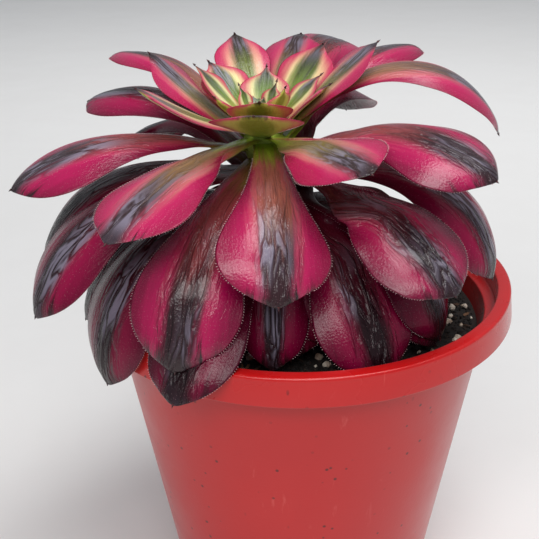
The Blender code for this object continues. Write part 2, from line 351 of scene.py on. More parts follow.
class Shader:
    """One procedural material. Each call adds a node and gives the output that later calls take."""

    def __init__(self, name):
        self.material = bpy.data.materials.new(name)
        self.material.use_nodes = True
        self.tree = self.material.node_tree
        self.surface = self.tree.nodes["Principled BSDF"]

    def put(self, socket, value):
        if isinstance(value, bpy.types.NodeSocket):
            self.tree.links.new(value, socket)
        elif value is not None:
            if socket.type == "RGBA" and len(value) == 3:
                value = (*value, 1.0)
            socket.default_value = value

    def node(self, kind, inputs, **settings):
        """A new node with these inputs, each a number, a colour or another node's output."""
        node = self.tree.nodes.new(kind)
        for key, value in settings.items():
            setattr(node, key, value)
        for key, value in inputs.items():
            self.put(node.inputs[key], value)
        return node

    def attribute(self, name):
        return self.node("ShaderNodeAttribute", {}, attribute_name=name).outputs["Vector"]

    def place(self):
        return self.node("ShaderNodeTexCoord", {}).outputs["Object"]

    def parts(self, vector):
        return self.node("ShaderNodeSeparateXYZ", {0: vector}).outputs

    def sum(self, operation, *values):
        return self.node("ShaderNodeMath", dict(enumerate(values)), operation=operation).outputs[0]

    def times(self, first, second):
        return self.sum("MULTIPLY", first, second)

    def nudged(self, value, cloud, amount):
        """The value, pushed up and down by that share of a cloudy noise."""
        return self.sum("MULTIPLY_ADD", self.sum("SUBTRACT", cloud, 0.5), amount, value)

    def stretched(self, vector, scale):
        inputs = {0: vector, 1: scale}
        return self.node("ShaderNodeVectorMath", inputs, operation="MULTIPLY").outputs[0]

    def noise(self, vector, scale, detail=2.0, roughness=0.5, distortion=0.0):
        inputs = {
            "Vector": vector,
            "Scale": scale,
            "Detail": detail,
            "Roughness": roughness,
            "Distortion": distortion,
        }
        return self.node("ShaderNodeTexNoise", inputs).outputs["Fac"]

    def cells(self, vector, scale):
        return self.node("ShaderNodeTexVoronoi", {"Vector": vector, "Scale": scale}).outputs["Distance"]

    def step(self, value, low, high, start=0.0, end=1.0):
        """Goes smoothly from start to end as value goes from low to high."""
        inputs = {0: value, 1: low, 2: high, 3: start, 4: end}
        return self.node("ShaderNodeMapRange", inputs, interpolation_type="SMOOTHSTEP").outputs[0]

    def ramp(self, value, stops):
        """A colour for each position from 0 to 1. Stops are (position, colour)."""
        node = self.node("ShaderNodeValToRGB", {0: value})
        elements = node.color_ramp.elements
        while len(elements) < len(stops):
            elements.new(0.5)
        for element, (position, stop) in zip(elements, stops):
            element.position = position
            element.color = (*stop, 1.0)
        return node.outputs[0]

    def mix(self, factor, first, second):
        node = self.node("ShaderNodeMix", {}, data_type="RGBA")
        for socket, value in ((0, factor), (6, first), (7, second)):
            self.put(node.inputs[socket], value)
        return node.outputs[2]

    def bump(self, height, distance, strength=1.0, normal=None):
        inputs = {"Height": height, "Distance": distance, "Strength": strength, "Normal": normal}
        return self.node("ShaderNodeBump", inputs).outputs[0]

    def set(self, **inputs):
        for key, value in inputs.items():
            self.put(self.surface.inputs[key.replace("_", " ")], value)
        return self.material


# -------------------- leaves

def zone(*stops):
    """A zone's colour at each age, from the youngest leaf, at 0, to the oldest, at 1."""
    return tuple((age, paint(*tone)) for age, *tone in stops)


FOOT = zone(
    (0.00, 0.84, 0.87, 0.46),
    (0.15, 0.70, 0.76, 0.30),
    (0.30, 0.55, 0.64, 0.19),
    (0.42, 0.58, 0.68, 0.18),
    (0.50, 0.46, 0.40, 0.16),
    (0.60, 0.30, 0.12, 0.11),
    (1.00, 0.22, 0.06, 0.08),
)
STRIPE_LOW = zone(
    (0.00, 0.46, 0.58, 0.24),
    (0.15, 0.42, 0.53, 0.20),
    (0.28, 0.47, 0.49, 0.25),
    (0.38, 0.55, 0.40, 0.29),
    (0.46, 0.60, 0.27, 0.27),
    (0.60, 0.34, 0.08, 0.14),
    (1.00, 0.21, 0.04, 0.09),
)
STRIPE_HIGH = zone(
    (0.00, 0.16, 0.23, 0.10),
    (0.15, 0.17, 0.20, 0.12),
    (0.28, 0.19, 0.14, 0.13),
    (0.40, 0.20, 0.11, 0.13),
    (0.60, 0.13, 0.05, 0.075),
    (1.00, 0.10, 0.03, 0.05),
)
FLANK = zone(
    (0.00, 0.92, 0.92, 0.68),
    (0.14, 0.92, 0.89, 0.63),
    (0.26, 0.88, 0.69, 0.56),
    (0.36, 0.83, 0.45, 0.46),
    (0.46, 0.76, 0.22, 0.36),
    (0.65, 0.54, 0.06, 0.21),
    (1.00, 0.38, 0.04, 0.15),
)
SIDE = zone(
    (0.00, 0.83, 0.36, 0.42),
    (0.12, 0.82, 0.29, 0.42),
    (0.26, 0.77, 0.18, 0.38),
    (0.38, 0.72, 0.10, 0.34),
    (0.50, 0.67, 0.06, 0.31),
    (0.65, 0.52, 0.03, 0.22),
    (1.00, 0.40, 0.02, 0.165),
)
EDGE = zone(
    (0.00, 0.66, 0.10, 0.22),
    (0.30, 0.54, 0.05, 0.21),
    (0.50, 0.37, 0.02, 0.155),
    (1.00, 0.22, 0.01, 0.09),
)
UNDER_FLANK = zone(
    (0.00, 0.86, 0.87, 0.45),
    (0.15, 0.80, 0.82, 0.36),
    (0.28, 0.78, 0.74, 0.38),
    (0.38, 0.66, 0.40, 0.34),
    (0.60, 0.42, 0.12, 0.20),
    (1.00, 0.30, 0.07, 0.14),
)
UNDER_STRIPE = zone(
    (0.00, 0.58, 0.64, 0.18),
    (0.15, 0.54, 0.58, 0.15),
    (0.28, 0.46, 0.51, 0.14),
    (0.38, 0.38, 0.25, 0.18),
    (0.50, 0.30, 0.12, 0.15),
    (1.00, 0.18, 0.06, 0.10),
)
STREAK_TONE = paint(0.12, 0.06, 0.08)
TIP_TONE = paint(0.14, 0.06, 0.08)
SPECK_TONE = paint(0.95, 0.75, 0.78)
# Painted highlight: the colour of the silvery sheen painted on the stripe's ridges
SILVER_HIGHLIGHT_TONE = paint(0.62, 0.59, 0.67)

# Heights of what only the bump shows
FOLD_BUMP, STREAK_BUMP, PEBBLE_BUMP, GRIT_BUMP = 0.00055, 0.00008, 0.00008, 0.00006

# How much light the waxy skin throws back, and how thick its coat is
FRESH_SHINE, FRESH_COAT = 0.40, 0.17
OLD_SHINE, OLD_COAT = 0.25, 0.09
# Counted from 0: the first leaf that is old
FIRST_OLD = 31


def ring_order(ring, triangles):
    """The points of one ring in order round it. Only a side triangle has two of its points on a ring."""
    beside = {i: set() for i in ring}
    for triangle in triangles:
        on = [i for i in triangle if i in beside]
        if len(on) == 2:
            beside[on[0]].add(on[1])
            beside[on[1]].add(on[0])
    order = [min(ring)]
    while len(order) < len(ring):
        ahead = [i for i in beside[order[-1]] if i not in order]
        if not ahead:
            raise RuntimeError("a ring of a leaf's solid isn't one loop")
        order.append(ahead[0])
    return order


def leaf_rings(mesh, tip_of_plant):
    """The points of a leaf's merged solid: its rings from foot to tip, each (8, 3), and the tip."""
    near = [set() for _ in mesh.vertices]
    for edge in mesh.edges:
        a, b = edge.vertices
        near[a].add(b)
        near[b].add(a)
    for tip in range(len(near)):
        levels, seen = [{tip}], {tip}
        while len(near[tip]) == RING:
            ahead = set().union(*(near[i] for i in levels[-1])) - seen
            if not ahead:
                break
            levels.append(ahead)
            seen |= ahead
        if [len(level) for level in levels[1:]] == [RING] * RING_COUNT:
            break
    else:
        raise RuntimeError(f"{mesh.name} isn't laid out in rings")
    triangles = [tuple(face.vertices) for face in mesh.polygons]
    places = np.array([v.co for v in mesh.vertices])
    rings, below = [], None
    for level in levels[:0:-1]:
        order = np.array(ring_order(level, triangles))
        if below is not None:
            turns = [np.roll(way, k) for way in (order, order[::-1]) for k in range(RING)]
            joined = [turn for turn in turns if all(b in near[a] for a, b in zip(below, turn))]
            order = min(joined, key=lambda turn: np.abs(places[turn] - places[below]).sum())
        below = order
        rings.append(places[order])
    rings = np.array(rings)
    middle = rings[RING_COUNT // 2]
    spans = [np.linalg.norm(middle[k] - middle[k + RING // 2]) for k in range(RING // 2)]
    rings = np.roll(rings, -int(np.argmax(spans)), axis=1)
    foot = rings[:3].mean(axis=0)
    above = np.array(tip_of_plant) + (0, 0, 0.04) - foot.mean(axis=0)
    if (foot[CREST] - foot[KEEL]) @ above < 0:
        rings = rings[:, ::-1]
        rings = np.roll(rings, 1, axis=1)
    return rings, places[tip]


def broadened(rings, age, settings):
    """The rings with a broader neck on a grown leaf, and with more breadth all along a young one."""
    youth = 1.0 - min(1.0, max(0.0, (age - 0.17) * 8))
    wider = []
    for k, ring in enumerate(rings):
        across = ring[MARGINS[0]] - ring[MARGINS[1]]
        across /= np.linalg.norm(across)
        middle = (ring[MARGINS[0]] + ring[MARGINS[1]]) / 2
        offsets = (ring - middle) @ across
        grown = settings.neck_breadth * NECK_GAIN[k] * (0.4 + 0.6 * min(1.0, max(0.0, (age - 0.45) * 7)))
        young = settings.young_breadth * (1.0 - 0.35 * k / RING_COUNT) * (1.5 - 4 * min(0.125, age))
        gain = grown * (1 - youth) + young * youth
        wider.append(ring + np.outer(offsets * gain, across))
    return np.array(wider)


def blade_from_rings(name, rings, tip, age, offset, settings):
    """A leaf's cage: quads along the rings, a root ring, and where each point lies on the leaf."""
    rings = broadened(rings, age, settings)
    foot = rings[0].mean(axis=0)
    along = rings[1].mean(axis=0) - foot
    along /= np.linalg.norm(along)
    root = foot + (rings[0] - foot) * 0.7 - along * settings.root
    ahead = tip - rings[-1].mean(axis=0)
    youth = 1.0 - min(1.0, max(0.0, (age - 0.3) * 5))
    tip = tip + ahead / np.linalg.norm(ahead) * settings.tip_reach * (0.3 + 0.7 * youth)
    rings = np.concatenate([[root], rings])
    points = [*rings.reshape(-1, 3), tip]
    last = len(points) - 1
    faces = []
    for k in range(len(rings) - 1):
        for i in range(RING):
            a, b = k * RING + i, k * RING + (i + 1) % RING
            faces.append((a, b, b + RING, a + RING))
    top = (len(rings) - 1) * RING
    faces += [(top + i, top + (i + 1) % RING, last) for i in range(RING)]
    faces.append(tuple(reversed(range(RING))))
    blade = new_piece(name, points, faces)
    bpy.ops.object.mode_set(mode="EDIT")
    bpy.ops.mesh.select_all(action="SELECT")
    bpy.ops.mesh.normals_make_consistent(inside=False)
    bpy.ops.object.mode_set(mode="OBJECT")

    middle = np.concatenate([rings[:, MARGINS].mean(axis=1), [tip]])
    steps = np.linalg.norm(np.diff(middle, axis=0), axis=1)
    run = np.concatenate([[0], np.cumsum(steps)]) - steps[0]
    half = np.linalg.norm(rings[:, MARGINS[0]] - rings[:, MARGINS[1]], axis=1) / 2
    widest = half.max()
    place, reach = [], []
    for k in range(len(rings)):
        for i in range(RING):
            place.append((max(0.0, run[k] / run[-1]), ACROSS[i], UNDERSIDE[i]))
            reach.append((run[k], ACROSS[i] * half[k], offset))
    place.append((1.0, 0.0, 0.5))
    reach.append((run[-1], 0.0, offset))
    tone = [(age, widest, offset)] * len(points)
    for label, values in (("leaf_place", place), ("leaf_reach", reach), ("leaf_tone", tone)):
        layer = blade.data.attributes.new(label, "FLOAT_VECTOR", "POINT")
        layer.data.foreach_set("vector", np.array(values, np.float32).ravel())
    sharp = blade.data.attributes.new("crease_vert", "FLOAT", "POINT")
    sharp.data[last].value = 0.45 + 0.55 * youth
    crease = blade.data.attributes.new("crease_edge", "FLOAT", "EDGE")
    for edge in blade.data.edges:
        a, b = edge.vertices
        on_margin = all(v % RING in MARGINS or v == last for v in (a, b))
        if on_margin and abs(a - b) != RING // 2:
            crease.data[edge.index].value = settings.edge_crease
    return blade


def values_of(mesh, label):
    """A vector attribute's values, one row for each point."""
    found = np.empty(len(mesh.vertices) * 3, np.float32)
    mesh.attributes[label].data.foreach_get("vector", found)
    return found.reshape(-1, 3)


def points_of(mesh):
    found = np.empty(len(mesh.vertices) * 3, np.float32)
    mesh.vertices.foreach_get("co", found)
    return found.reshape(-1, 3)


def hug(blades, rounds=4):
    """Moves each cage's points out until the smooth surface passes through where they first were."""
    wanted = [points_of(blade.data) for blade in blades]
    cages = [points.copy() for points in wanted]
    for _ in range(rounds):
        graph = bpy.context.evaluated_depsgraph_get()
        for i, blade in enumerate(blades):
            smooth = points_of(blade.evaluated_get(graph).data)[: len(cages[i])]
            cages[i] += (wanted[i] - smooth) * 0.9
            blade.data.vertices.foreach_set("co", cages[i].ravel())
            blade.data.update()
        bpy.context.view_layer.update()


def relief(u, across, underside, age, seed, half, settings):
    """How far a point of a leaf stands proud of the plain blade, in metres."""
    top = 1.0 - underside
    reach = across * half
    lobe = noise.noise(Vector((u * 5, reach * 90, seed))) * 0.00022
    grown = min(1.0, max(0.0, (age - 0.25) * 3))
    inside = max(0.0, 1 - (abs(reach) / (half * 0.42)) ** 2)
    fold = noise.noise(Vector((u * 9, reach / settings.fold_pitch, seed + 4)))
    fold = (1 - 2 * abs(fold)) * inside * grown * min(1.0, max(0.0, (u - 0.25) * 4))
    furrow = -math.exp(-((reach / 0.0011) ** 2)) * 0.00012 * (1 - u)
    return top * (fold * settings.fold_depth + furrow) + lobe * (1 - abs(across)) * (0.4 + grown)


def finish_blade(blade, material, settings):
    """Applies the smoothing, then gives the surface its folds and its margins their wander."""
    apply_modifiers(blade)
    mesh = blade.data
    places, tones = values_of(mesh, "leaf_place"), values_of(mesh, "leaf_tone")
    runs = values_of(mesh, "leaf_reach")
    normals = np.array([v.normal for v in mesh.vertices])
    points = points_of(mesh)
    age, widest, seed = tones[0]
    flat = np.zeros_like(points)
    moved = np.zeros(len(points))
    for i, (u, across, underside) in enumerate(places):
        half = max(1e-4, abs(runs[i][1] / across)) if abs(across) > 1e-3 else widest
        moved[i] = relief(u, across, underside, age, seed, min(half, widest), settings)
        swell = max(0.0, math.sin(math.pi * min(1.0, max(0.0, (u - 0.15) / 0.85)))) ** 1.2
        dome = settings.dome * swell * (1 - across**2) * min(1.0, max(0.15, (age - 0.2) * 4))
        moved[i] += dome * (1 - 2 * underside)
        side = 1.0 if across > 0 else -1.0
        wander = noise.noise(Vector((runs[i][0] / settings.wave_pitch, side * 3, seed + 9)))
        wander *= settings.wave * across**4 * min(1.0, u * 3) * (0.35 + min(1.0, age * 2))
        flat[i] = normals[i] * moved[i]
        flat[i][2] += wander
    points += flat.astype(np.float32)
    mesh.vertices.foreach_set("co", points.ravel())
    mesh.update()
    shade(blade)
    node = blade.name.replace("_blade", "")
    finish_piece(blade, [material], [node])


def leaf_flesh(settings, name, shine, coat):
    """Glossy leaf: a dark feathered stripe, cream to pink flanks, a crimson margin and fine folds."""
    s = Shader(name)
    u, across, underside = s.parts(s.attribute("leaf_place"))
    reach = s.attribute("leaf_reach")
    offset = s.parts(reach)[1]
    age, half, _ = s.parts(s.attribute("leaf_tone"))
    off = s.sum("ABSOLUTE", across)
    # Streaks run along the leaf, so they are stretched that way
    streaks = s.noise(s.stretched(reach, (42, 560, 1)), 1.0, 4, 0.6, 0.4)
    fine = s.noise(s.stretched(reach, (110, 2300, 1)), 1.0, 3, 0.6, 0.3)
    drift = s.noise(s.stretched(reach, (26, 60, 1)), 1.0, 2)
    stripe_place = s.sum("DIVIDE", s.sum("ABSOLUTE", offset), half)
    stripe_place = s.nudged(stripe_place, streaks, 0.36)
    stripe_place = s.nudged(stripe_place, drift, 0.15)
    # A young leaf's stripe is a lens; a grown leaf's runs on to its tip
    grown_width = s.times(s.step(u, 0.0, 0.55, 0.50, 1.0), s.step(u, 0.78, 1.0, 1.0, 0.80))
    young_width = s.times(s.step(u, 0.0, 0.62, 0.25, 1.25), s.step(u, 0.66, 1.0, 1.0, 0.10))
    youth = s.step(age, 0.10, 0.34, 1.0, 0.0)
    width = s.sum("MULTIPLY_ADD", s.sum("SUBTRACT", young_width, grown_width), youth, grown_width)
    width = s.times(width, settings.stripe)
    beyond = s.sum("SUBTRACT", stripe_place, width)
    stripe = s.step(beyond, -0.15, 0.16, 1.0, 0.0)
    inner = s.nudged(off, streaks, 0.40)
    stripe = s.times(stripe, s.step(inner, 0.60, 0.86, 1.0, 0.0))

    # Stripe: brown or green towards the foot, dark towards the tip
    along = s.nudged(u, streaks, 0.5)
    darken = s.step(along, s.step(age, 0.1, 0.5, 0.42, 0.40), s.step(age, 0.1, 0.5, 0.90, 0.76))
    stripe_tone = s.mix(darken, s.ramp(age, STRIPE_LOW), s.ramp(age, STRIPE_HIGH))
    stripe_tone = s.mix(s.step(fine, 0.45, 0.75, 0.0, 0.45), stripe_tone, STREAK_TONE)

    # Flanks: paler beside the stripe, pink outside, crimson at the margin
    spread = s.step(age, 0.10, 0.36, 0.95, 0.24)
    pale = s.step(s.sum("DIVIDE", beyond, spread), 0.0, 1.0, 1.0, 0.0)
    pale = s.times(pale, s.step(u, s.step(youth, 0.0, 1.0, 0.45, 0.62), 0.97, 1.0, 0.1))
    pale = s.times(pale, s.step(inner, s.step(youth, 0.0, 1.0, 0.60, 0.46), 0.96, 1.0, 0.0))
    side = s.mix(s.step(drift, 0.3, 0.7, 0.0, 0.22), s.ramp(age, SIDE), s.ramp(age, EDGE))
    flank = s.mix(pale, side, s.ramp(age, FLANK))
    # Darker crimson towards the margin: partly the leaf's own deeper crimson, partly painted shade where the
    # margin curves away from the light
    margin_tone_and_shade = s.step(age, 0.15, 0.5, 0.25, 0.80)
    flank = s.mix(s.step(inner, 0.48, 1.0, 0.0, margin_tone_and_shade), flank, s.ramp(age, EDGE))
    flank = s.mix(s.step(inner, 0.93, 1.04), flank, s.ramp(age, EDGE))
    top = s.mix(stripe, flank, stripe_tone)
    foot = s.step(along, s.step(age, 0.0, 0.45, 0.06, 0.02), s.step(age, 0.0, 0.45, 0.46, 0.27), 1.0, 0.0)
    foot = s.times(foot, s.step(off, 0.7, 1.0, 1.0, 0.55))
    top = s.mix(foot, top, s.ramp(age, FOOT))

    # Underside: duller, the stripe wider and softer
    keel = s.step(s.sum("SUBTRACT", beyond, s.times(youth, -0.12)), -0.12, 0.2, 0.85, 0.0)
    under = s.mix(keel, s.ramp(age, UNDER_FLANK), s.ramp(age, UNDER_STRIPE))
    under = s.mix(s.step(inner, 0.52, 0.96), under, s.ramp(age, SIDE))
    under = s.mix(s.step(u, 0.0, 0.35, 0.8, 0.0), under, s.ramp(age, FOOT))
    skin = s.mix(s.step(underside, 0.45, 0.62), top, under)
    skin = s.mix(s.step(along, 0.90, 1.03), skin, TIP_TONE)
    specks = s.cells(s.place(), 1400)
    skin = s.mix(s.step(specks, 0.05, 0.16, 0.25, 0.0), skin, SPECK_TONE)

    # Skin: shrivelled folds along the stripe, fine streaks and pebbles all over
    folds = s.noise(s.stretched(reach, (70, 330, 1)), 1.0, 2.5, 0.5, 0.8)
    folds = s.step(s.sum("ABSOLUTE", s.sum("SUBTRACT", folds, 0.5)), 0.0, 0.13)
    depth = s.times(s.step(beyond, -0.02, 0.22, 1.0, 0.06), s.step(u, 0.2, 0.5, 0.15, 1.0))
    depth = s.times(depth, s.step(age, 0.30, 0.55, 0.22, 1.0))
    # Painted highlight: a silvery sheen, standing in for the soft lights reflected, lies in patches on the
    # ridges of the stripe
    patches = s.noise(s.stretched(reach, (38, 70, 1)), 1.0, 1)
    painted_sheen = s.times(s.step(patches, 0.38, 0.62), s.times(folds, stripe))
    painted_sheen = s.times(painted_sheen, s.step(u, 0.30, 0.62, 0.0, 0.50))
    painted_sheen = s.times(painted_sheen, s.step(u, 0.86, 0.97, 1.0, 0.15))
    painted_sheen = s.times(painted_sheen, s.step(underside, 0.4, 0.6, 1.0, 0.0))
    skin = s.mix(painted_sheen, skin, SILVER_HIGHLIGHT_TONE)
    grit = s.noise(s.place(), 2600, 2, 0.6)
    normal = s.bump(s.times(folds, depth), FOLD_BUMP)
    normal = s.bump(fine, STREAK_BUMP, 0.8, normal)
    normal = s.bump(s.cells(s.place(), 1500), PEBBLE_BUMP, 0.8, normal)
    normal = s.bump(grit, GRIT_BUMP, 0.7, normal)
    gloss = s.step(grit, 0.3, 0.7, 0.16, 0.26)
    gloss = s.sum("MULTIPLY_ADD", underside, 0.12, gloss)
    gloss = s.sum("MULTIPLY_ADD", youth, 0.16, gloss)
    return s.set(
        Base_Color=skin,
        Roughness=gloss,
        Normal=normal,
        IOR=1.46,
        Specular_IOR_Level=shine,
        Coat_Weight=coat,
        Coat_Roughness=0.12,
    )


class AEONIUM_OT_leaves(bpy.types.Operator):
    """Build a detailed blade over each leaf's solid"""

    bl_idname = "aeonium.leaves"
    bl_label = "Leaves"

    def execute(self, context):
        settings = context.scene.aeonium_leaves
        tip_of_plant = (HEART_LOW + HEART_HIGH) / 2
        blades = []
        for i, node in enumerate(LEAVES):
            solid = copied_solid(node, node + "_solid")
            rings, tip = leaf_rings(solid.data, tip_of_plant)
            bpy.data.objects.remove(solid)
            age = i / (len(LEAVES) - 1)
            blade = blade_from_rings(node + "_blade", rings, tip, age, i * 0.37, settings)
            subdivide_smoothly(blade, settings.refinement)
            blades.append(blade)
        hug(blades)
        fresh = leaf_flesh(settings, "leaf_flesh", FRESH_SHINE, FRESH_COAT)
        old = leaf_flesh(settings, "leaf_flesh_old", OLD_SHINE, OLD_COAT)
        for i, blade in enumerate(blades):
            finish_blade(blade, old if i >= FIRST_OLD else fresh, settings)
        return {"FINISHED"}


# -------------------- heart of the rosette

# The tiny leaves from the middle outwards: each next one is longer, leans out more and stands further out
HEART_COUNT = 12
HEART_SIZE, HEART_SIZE_STEP = 0.0024, 0.00042
HEART_LIFT, HEART_LIFT_STEP = 80, 4.2
HEART_SPREAD, HEART_SPREAD_STEP = 0.0004, 0.00026
GOLDEN_ANGLE = math.radians(137.5)
# The crown falls away by this height at this radius
CROWN_FALL, CROWN_RADIUS = 0.0078, 0.0074


def small_leaf_rings(size, lift, azimuth, foot):
    """Rings of a tiny cupped leaf that stands at the heart, from a formula."""
    turn = Matrix.Rotation(azimuth, 3, "Z") @ Matrix.Rotation(-lift, 3, "Y")
    rings = []
    for k in range(RING_COUNT):
        t = k / RING_COUNT
        half = size * 0.40 * (0.35 + 1.1 * math.sin(math.pi * min(1, t * 0.92 + 0.08)) ** 0.8)
        thick = size * 0.075 * (1 - 0.5 * t)
        ring = []
        for across, underside in zip(ACROSS, UNDERSIDE):
            cup = half * 0.55 * across**2
            rise = thick * (1 - abs(across) ** 2.5) * (1 - 2 * underside)
            curl = size * 0.18 * t * t
            ring.append(foot + turn @ Vector((t * size, across * half, cup + rise + curl)))
        rings.append(ring)
    tip = foot + turn @ Vector((size * 1.06, 0, size * 0.22))
    return np.array(rings), np.array(tip)


class AEONIUM_OT_heart(bpy.types.Operator):
    """Build the tiny leaves at the heart of the rosette, in place of the growing tip"""

    bl_idname = "aeonium.heart"
    bl_label = "Heart"

    def execute(self, context):
        settings = context.scene.aeonium_leaves
        apex = Vector(((HEART_LOW.x + HEART_HIGH.x) / 2, (HEART_LOW.y + HEART_HIGH.y) / 2, HEART_LOW.z))
        blades = []
        for k in range(HEART_COUNT):
            size = HEART_SIZE + HEART_SIZE_STEP * k
            lift = math.radians(HEART_LIFT - HEART_LIFT_STEP * k)
            azimuth = 0.6 - GOLDEN_ANGLE * k
            spread = HEART_SPREAD + HEART_SPREAD_STEP * k
            foot = apex + Vector((math.cos(azimuth), math.sin(azimuth), 0)) * spread
            foot.z -= CROWN_FALL * (spread / CROWN_RADIUS) ** 2
            rings, tip = small_leaf_rings(size, lift, azimuth, foot)
            blade = blade_from_rings(f"heart_leaf_{k + 1}", rings, tip, 0.0, 31 + k * 0.41, settings)
            subdivide_smoothly(blade, 2)
            blades.append(blade)
        material = bpy.data.materials["leaf_flesh"]
        for blade in blades:
            apply_modifiers(blade)
            shade(blade)
        deselect_all()
        for blade in blades:
            blade.select_set(True)
        bpy.context.view_layer.objects.active = blades[0]
        bpy.ops.object.join()
        heart = bpy.context.active_object
        heart.name = "heart_leaves"
        finish_piece(heart, [material], ["growing_tip"])
        return {"FINISHED"}


# -------------------- hairs and points

# The foot of a leaf is bare for this share of its margin, and this share of the hairs has dropped off
BARE_FOOT, DROPPED_HAIRS = 0.12, 0.06
POINT_WIDTH = 0.0008


def margin_paths(mesh):
    """The two margins of a finished leaf: its points from foot to tip and their outward directions."""
    places, points = values_of(mesh, "leaf_place"), points_of(mesh)
    paths = []
    for side in (1.0, -1.0):
        on = np.nonzero(np.abs(places[:, 1] - side) < 1e-4)[0]
        on = on[np.argsort(places[on, 0])]
        on = on[places[on, 0] > 0.0]
        paths.append(points[on])
    shortest = min(len(path) for path in paths)
    left, right = paths[0][:shortest], paths[1][:shortest]
    outward = left - right
    outward /= np.linalg.norm(outward, axis=1, keepdims=True) + 1e-12
    return (left, outward), (right, -outward)


def walk(path, outward, pitch):
    """Places along a margin at that pitch: point, outward and forward direction, share of the way."""
    steps = np.linalg.norm(np.diff(path, axis=0), axis=1)
    run = np.concatenate([[0], np.cumsum(steps)])
    for distance in np.arange(pitch / 2, run[-1], pitch):
        point = np.array([np.interp(distance, run, path[:, k]) for k in range(3)])
        out = np.array([np.interp(distance, run, outward[:, k]) for k in range(3)])
        i = min(len(path) - 2, int(np.searchsorted(run, distance)) - 1)
        ahead = path[i + 1] - path[i]
        yield point, out, ahead / (np.linalg.norm(ahead) + 1e-12), distance / run[-1]


def pointing(direction, point, width, reach):
    """A matrix that stands a unit cone at a point, along a direction."""
    turn = Vector(direction).to_track_quat("Z", "Y").to_matrix().to_4x4()
    return Matrix.Translation(point) @ turn @ Matrix.Diagonal((width, width, reach, 1))


def cone_shape(sides, tip_share=0.0):
    """A unit cone along +Z, modelled once and copied for every hair or point."""
    deselect_all()
    bpy.ops.mesh.primitive_cone_add(
        vertices=sides, radius1=0.5, radius2=tip_share, depth=1.0, location=(0, 0, 0.42)
    )
    cone = bpy.context.active_object
    place_in_mesh(cone)
    return as_shape(cone)


def hair_material():
    """Pale hairs, crimson on the young leaves of the heart."""
    s = Shader("leaf_hair")
    tint = s.noise(s.place(), 900, 1)
    skin = s.mix(tint, paint(0.82, 0.56, 0.62), paint(0.95, 0.84, 0.82))
    height = s.parts(s.place())[2]
    skin = s.mix(s.step(height, HEART_LOW.z + 0.001, HEART_LOW.z + 0.007), skin, paint(0.62, 0.12, 0.22))
    return s.set(Base_Color=skin, Roughness=s.step(tint, 0.3, 0.7, 0.30, 0.45))


def point_material():
    """Dark horny point at the tip of a leaf."""
    s = Shader("leaf_point")
    tint = s.noise(s.place(), 1500, 2)
    skin = s.mix(s.step(tint, 0.35, 0.7), paint(0.10, 0.05, 0.06), paint(0.34, 0.10, 0.13))
    return s.set(Base_Color=skin, Roughness=s.step(tint, 0.3, 0.7, 0.35, 0.55))


class AEONIUM_OT_fringe(bpy.types.Operator):
    """Set the fine hairs along every leaf's margins and the dark point at its tip"""

    bl_idname = "aeonium.fringe"
    bl_label = "Hairs and points"

    def execute(self, context):
        settings = context.scene.aeonium_leaves
        dice = random.Random(11)
        hairs, points = [], []
        for node in LEAVES:
            mesh = bpy.data.objects[node + "_blade"].data
            for path, outward in margin_paths(mesh):
                for point, out, ahead, done in walk(path, outward, settings.hair_pitch):
                    if done < BARE_FOOT or dice.random() < DROPPED_HAIRS:
                        continue
                    direction = out + ahead * dice.uniform(0.15, 0.6)
                    direction[2] += dice.uniform(-0.15, 0.15)
                    size = settings.hair * dice.uniform(0.7, 1.15)
                    hairs.append((0, pointing(direction, point, settings.hair_width, size)))
            places = values_of(mesh, "leaf_place")
            where = points_of(mesh)
            tip = where[int(np.argmax(places[:, 0]))]
            near = where[(places[:, 0] > 0.90) & (places[:, 0] < 0.96)].mean(axis=0)
            direction = (tip - near) / np.linalg.norm(tip - near)
            direction[2] -= 0.15
            size = settings.point * dice.uniform(0.75, 1.1)
            points.append((0, pointing(direction, tip - direction * size * 0.25, POINT_WIDTH, size)))
        fringe = copies("leaf_hairs", [cone_shape(3)], hairs)
        finish_piece(fringe, [hair_material()])
        horns = copies("leaf_points", [cone_shape(8, 0.04)], points)
        shade(horns, 50)
        finish_piece(horns, [point_material()])
        return {"FINISHED"}


# -------------------- stem


def bark_material():
    """Grey-brown bark with pale leaf scars, greener towards the crown."""
    s = Shader("stem_bark")
    place = s.place()
    height = s.parts(place)[2]
    grain = s.noise(s.stretched(place, (300, 300, 900)), 1.0, 4, 0.65)
    scars = s.cells(s.stretched(place, (140, 140, 260)), 1.0)
    bark = s.mix(s.step(grain, 0.3, 0.7), paint(0.24, 0.17, 0.12), paint(0.47, 0.38, 0.28))
    bark = s.mix(s.step(scars, 0.18, 0.30, 0.75, 0.0), bark, paint(0.62, 0.53, 0.40))
    green = s.mix(grain, paint(0.44, 0.52, 0.14), paint(0.62, 0.70, 0.24))
    young = s.step(height, STEM_HIGH.z - 0.022, STEM_HIGH.z - 0.004)
    normal = s.bump(s.sum("ADD", grain, s.step(scars, 0.1, 0.3)), 0.0004, 0.8)
    return s.set(
        Base_Color=s.mix(young, bark, green),
        Roughness=s.step(grain, 0.3, 0.7, 0.6, 0.85),
        Normal=normal,
    )


class AEONIUM_OT_stem(bpy.types.Operator):
    """Build the stem with its bark and leaf scars"""

    bl_idname = "aeonium.stem"
    bl_label = "Stem"

    def execute(self, context):
        stem = copied_solid("stem", "stem_bark")
        subdivide_smoothly(stem, 2)
        roughen(stem, "bark_lumps", 0.004, 0.0006)
        apply_modifiers(stem)
        shade(stem)
        finish_piece(stem, [bark_material()], ["stem"])
        return {"FINISHED"}


# -------------------- pot


